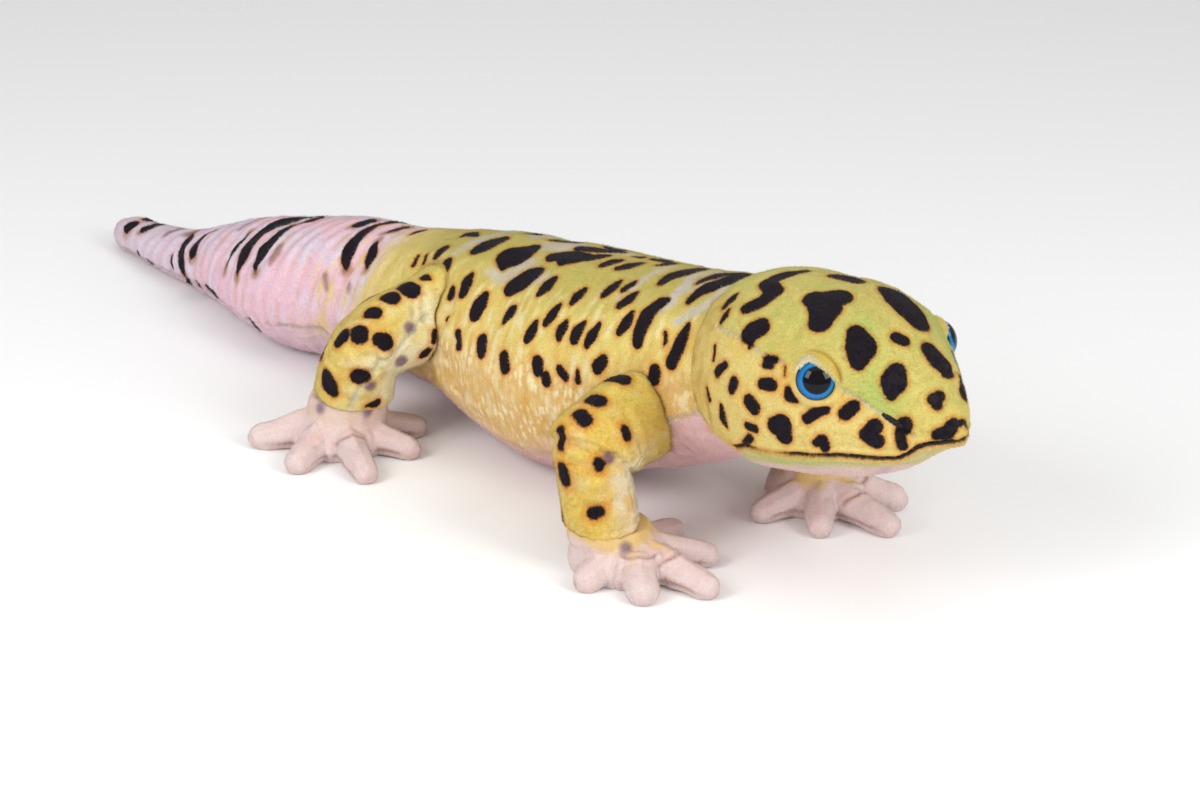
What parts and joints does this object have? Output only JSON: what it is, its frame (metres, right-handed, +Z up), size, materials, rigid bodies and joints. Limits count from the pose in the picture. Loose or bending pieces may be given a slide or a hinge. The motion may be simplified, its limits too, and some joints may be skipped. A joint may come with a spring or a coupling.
{
  "type": "stuffed toy leopard gecko",
  "caption": "Sewn and stuffed plush leopard gecko with a broad head, moulded eyes, bent legs with spread toes and a fat tapering tail, standing with its belly on the floor.",
  "frame": {"origin": "middle of the toy's footprint box, on the floor it stands on", "axes": "+Z up, -Y towards the snout, +X towards the gecko's own left"},
  "size_m": [0.2221, 0.5896, 0.13],
  "materials": {
    "yellow_plush": "short yellow pile with dark brown spots",
    "lilac_plush": "short lilac and white pile with dark bands",
    "pink_plush": "short pale pink pile",
    "moulded_eye": "clear glossy dome over a blue iris and black pupil"
  },
  "bodies": {
    "root": {"head": "yellow_plush", "jaw": "yellow_plush", "neck": "yellow_plush", "trunk": "yellow_plush", "tail": "lilac_plush", "eye_left": "moulded_eye", "eyelid_left": "yellow_plush", "arm_left": "yellow_plush", "forearm_left": "yellow_plush", "front_foot_left": "pink_plush", "thigh_left": "yellow_plush", "shank_left": "yellow_plush", "hind_foot_left": "pink_plush", "eye_right": "moulded_eye", "eyelid_right": "yellow_plush", "arm_right": "yellow_plush", "forearm_right": "yellow_plush", "front_foot_right": "pink_plush", "thigh_right": "yellow_plush", "shank_right": "yellow_plush", "hind_foot_right": "pink_plush"}
  },
  "joints": []
}
